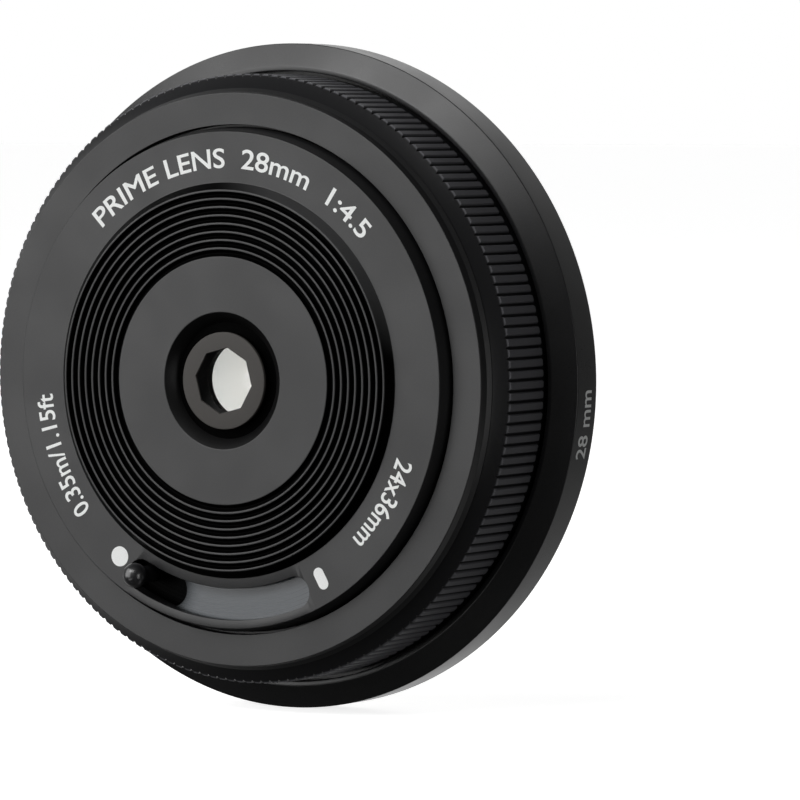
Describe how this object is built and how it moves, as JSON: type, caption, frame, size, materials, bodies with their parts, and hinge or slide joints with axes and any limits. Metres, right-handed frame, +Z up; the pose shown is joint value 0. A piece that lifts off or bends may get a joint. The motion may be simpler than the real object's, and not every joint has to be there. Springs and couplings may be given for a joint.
{
  "type": "prime camera lens",
  "caption": "Flat pancake prime lens with a grooved front, octagonal stop, lever-worked lens cover, ribbed grip ring and three-lug bayonet.",
  "frame": {"origin": "centre of the bayonet's seating face, on the optical axis", "axes": "+Y along the optical axis towards the camera body, so the lens's front faces -Y; +Z up with the lens upright; +X to the right seen from the front"},
  "size_m": [0.0604, 0.0215, 0.0604],
  "materials": {
    "anodised_black": "fine bead-blasted satin black anodising",
    "grip_anodised": "satin black anodising over machined ribs",
    "stop_black": "matt dark brown-grey coating",
    "inner_black_composite": "matt black glass-filled composite",
    "lever_coated": "satin blue-grey anodising",
    "knob_black": "black oxide",
    "blade_steel": "matt black coated spring steel",
    "white_paint": "white filling paint",
    "mount_metal": "fine-turned bright-plated alloy",
    "screw_steel": "bright steel",
    "screw_black": "black oxide",
    "pin_steel": "ground steel",
    "baffle_plastic": "matt black moulding",
    "contact_gold": "gold plate",
    "flex_amber": "amber polyimide ribbon",
    "usb_steel": "tinned steel",
    "usb_plastic": "black moulding",
    "board_green": "green solder mask",
    "chip_black": "moulded package",
    "focus_plastic": "glass-filled black plastic",
    "copper_wire": "enamelled copper winding",
    "magnet_nickel": "nickel-plated magnet",
    "yoke_steel": "plated soft iron",
    "brass_shim": "plain brass",
    "retainer_black": "matt black anodising",
    "coated_glass": "polished glass, green-violet coating"
  },
  "bodies": {
    "barrel": {"front_cap": "anodised_black", "front_ring": "anodised_black", "rear_barrel": "anodised_black", "grip_barrel": "grip_anodised", "aperture_plate": "stop_black", "cover_base": "inner_black_composite", "chassis": "inner_black_composite", "front_cell": "inner_black_composite", "rear_cell": "inner_black_composite", "position_marks": "white_paint", "index_dot": "white_paint", "bayonet_ring": "mount_metal", "bayonet_screws": "screw_steel", "chassis_screws": "screw_steel", "cover_base_screws": "screw_steel", "rear_cell_screws": "screw_steel", "board_screws": "screw_steel", "baffle_screws": "screw_black", "contact_screws": "screw_black", "blade_pivot_pins": "pin_steel", "guide_rods": "pin_steel", "rear_baffle": "baffle_plastic", "contact_block": "baffle_plastic", "contact_pads": "contact_gold", "contact_flex": "flex_amber", "usb_shell": "usb_steel", "usb_tongue": "usb_plastic", "main_board": "board_green", "board_chips": "chip_black", "position_sensor": "chip_black", "magnet_ring": "magnet_nickel", "yoke_ring": "yoke_steel", "shim_ring": "brass_shim", "front_retainer": "retainer_black", "second_retainer": "retainer_black", "rear_retainer": "retainer_black", "element_1": "coated_glass", "element_2": "coated_glass", "element_5": "coated_glass", "element_6": "coated_glass"},
    "cover_lever": {"lever_ring": "lever_coated", "lever_knob": "knob_black"},
    "blade_left": {"cover_blade_left": "blade_steel", "drive_pin_left": "pin_steel"},
    "blade_right": {"cover_blade_right": "blade_steel", "drive_pin_right": "pin_steel"},
    "focus_group": {"focus_cell": "focus_plastic", "element_3": "coated_glass", "element_4": "coated_glass", "focus_retainer": "retainer_black", "focus_coil": "copper_wire", "sensor_magnet": "magnet_nickel"}
  },
  "joints": [
    {"name": "cover_lever_turn", "type": "hinge", "parent": "barrel", "child": "cover_lever", "pos_m": [0, -0.013, 0], "axis": [0, -1, 0], "range_deg": [0, 48]},
    {"name": "blade_left_swing", "type": "hinge", "parent": "barrel", "child": "blade_left", "pos_m": [0, -0.0135, 0.0079], "axis": [0, -1, 0], "range_deg": [0, 32]},
    {"name": "blade_right_swing", "type": "hinge", "parent": "barrel", "child": "blade_right", "pos_m": [0, -0.0135, -0.0079], "axis": [0, -1, 0], "range_deg": [0, 32]},
    {"name": "focus_slide", "type": "slide", "parent": "barrel", "child": "focus_group", "axis": [0, -1, 0], "range_m": [0, 0.0012]}
  ],
  "couplings": [
    {"joint": "blade_left_swing", "follows": "cover_lever_turn", "ratio": 0.6666},
    {"joint": "blade_right_swing", "follows": "cover_lever_turn", "ratio": 0.6666}
  ]
}
